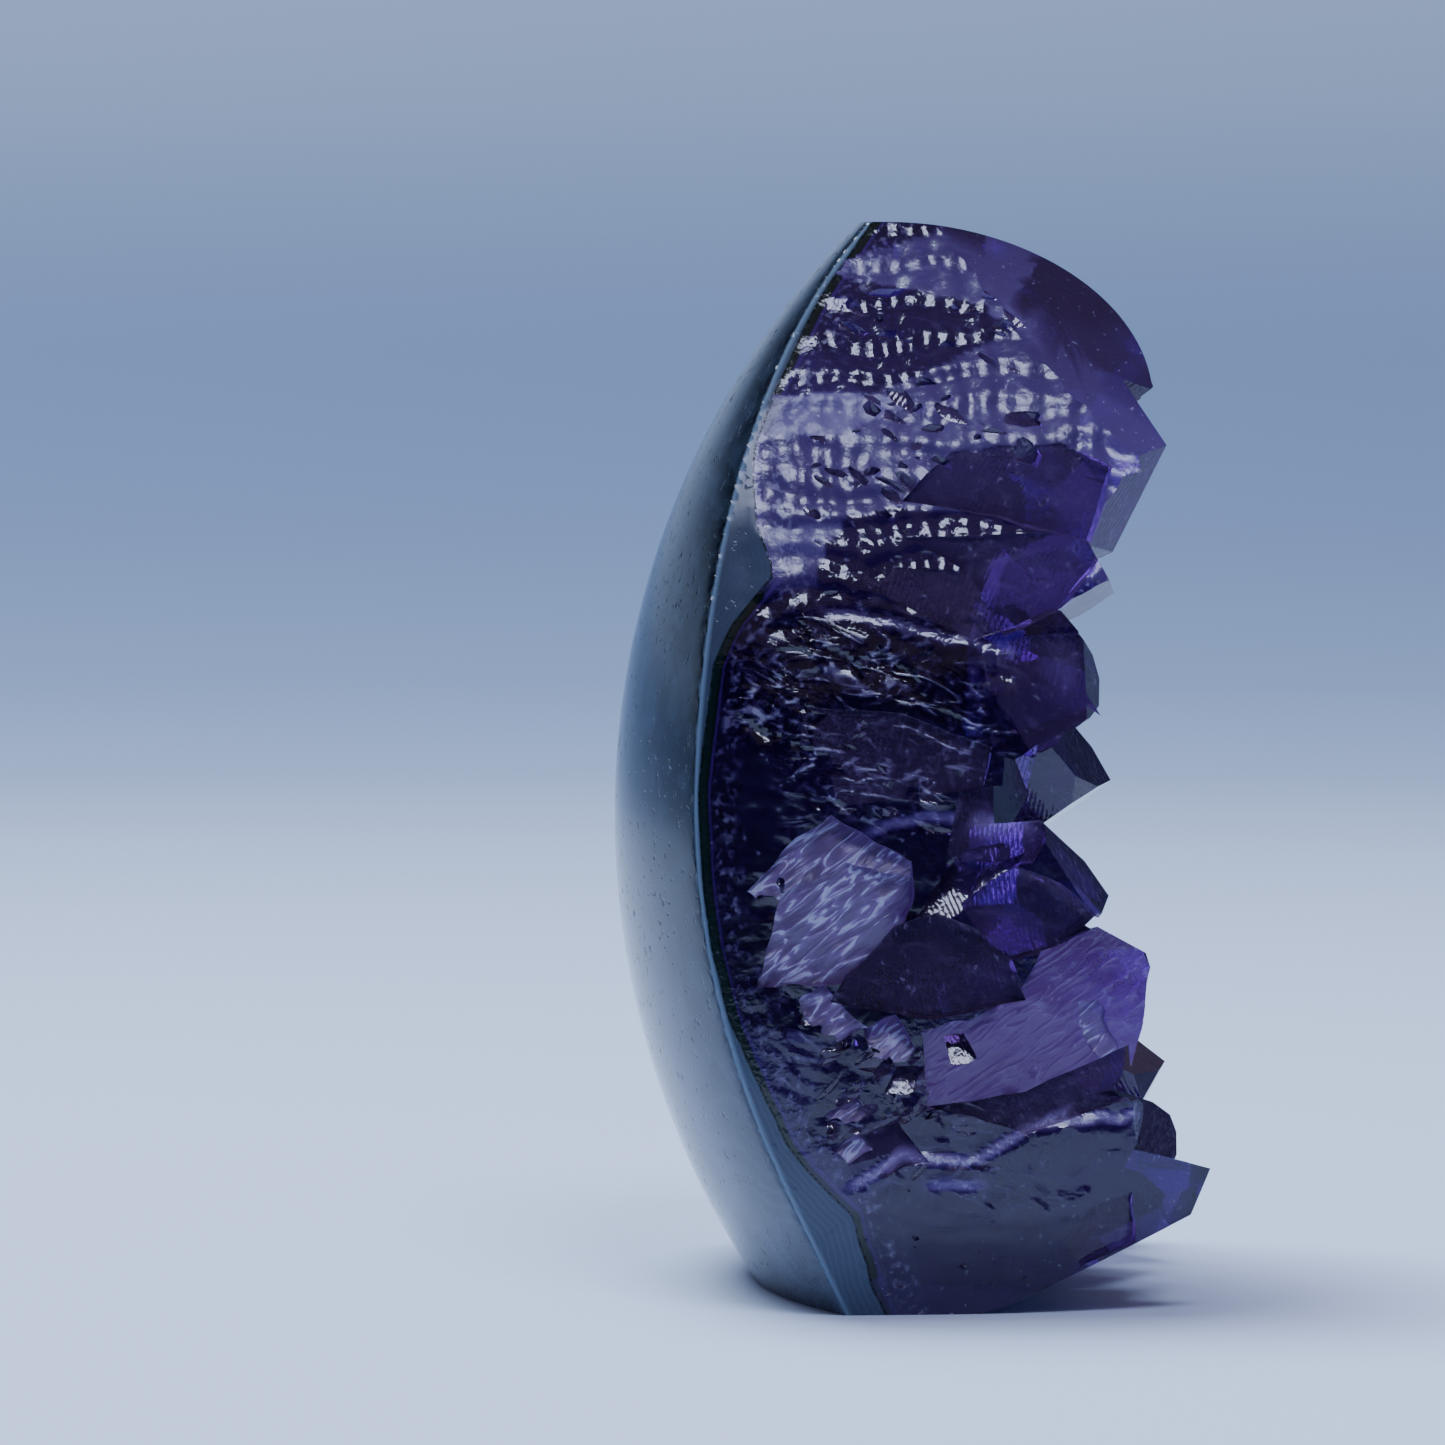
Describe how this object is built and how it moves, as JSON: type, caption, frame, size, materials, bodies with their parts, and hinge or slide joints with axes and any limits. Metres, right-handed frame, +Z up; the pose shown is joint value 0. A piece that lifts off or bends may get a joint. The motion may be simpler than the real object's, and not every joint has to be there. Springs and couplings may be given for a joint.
{
  "type": "amethyst druzy point",
  "caption": "Free-standing cut of an amethyst geode: a domed, polished agate rind behind, a pointed arch in outline, and a concave front grown over with quartz crystals.",
  "frame": {"origin": "middle of the flat base", "axes": "+Z up from the base to the crest, -Y out of the front that the crystals cover, +Y out of the polished rind, X across the stone"},
  "size_m": [0.0422, 0.0356, 0.0673],
  "materials": {
    "amethyst": "clear violet quartz, polished on the cut sides, natural faces in front",
    "chalcedony": "polished blue-grey agate rind"
  },
  "bodies": {
    "root": {"amethyst_point": "amethyst"}
  },
  "joints": []
}
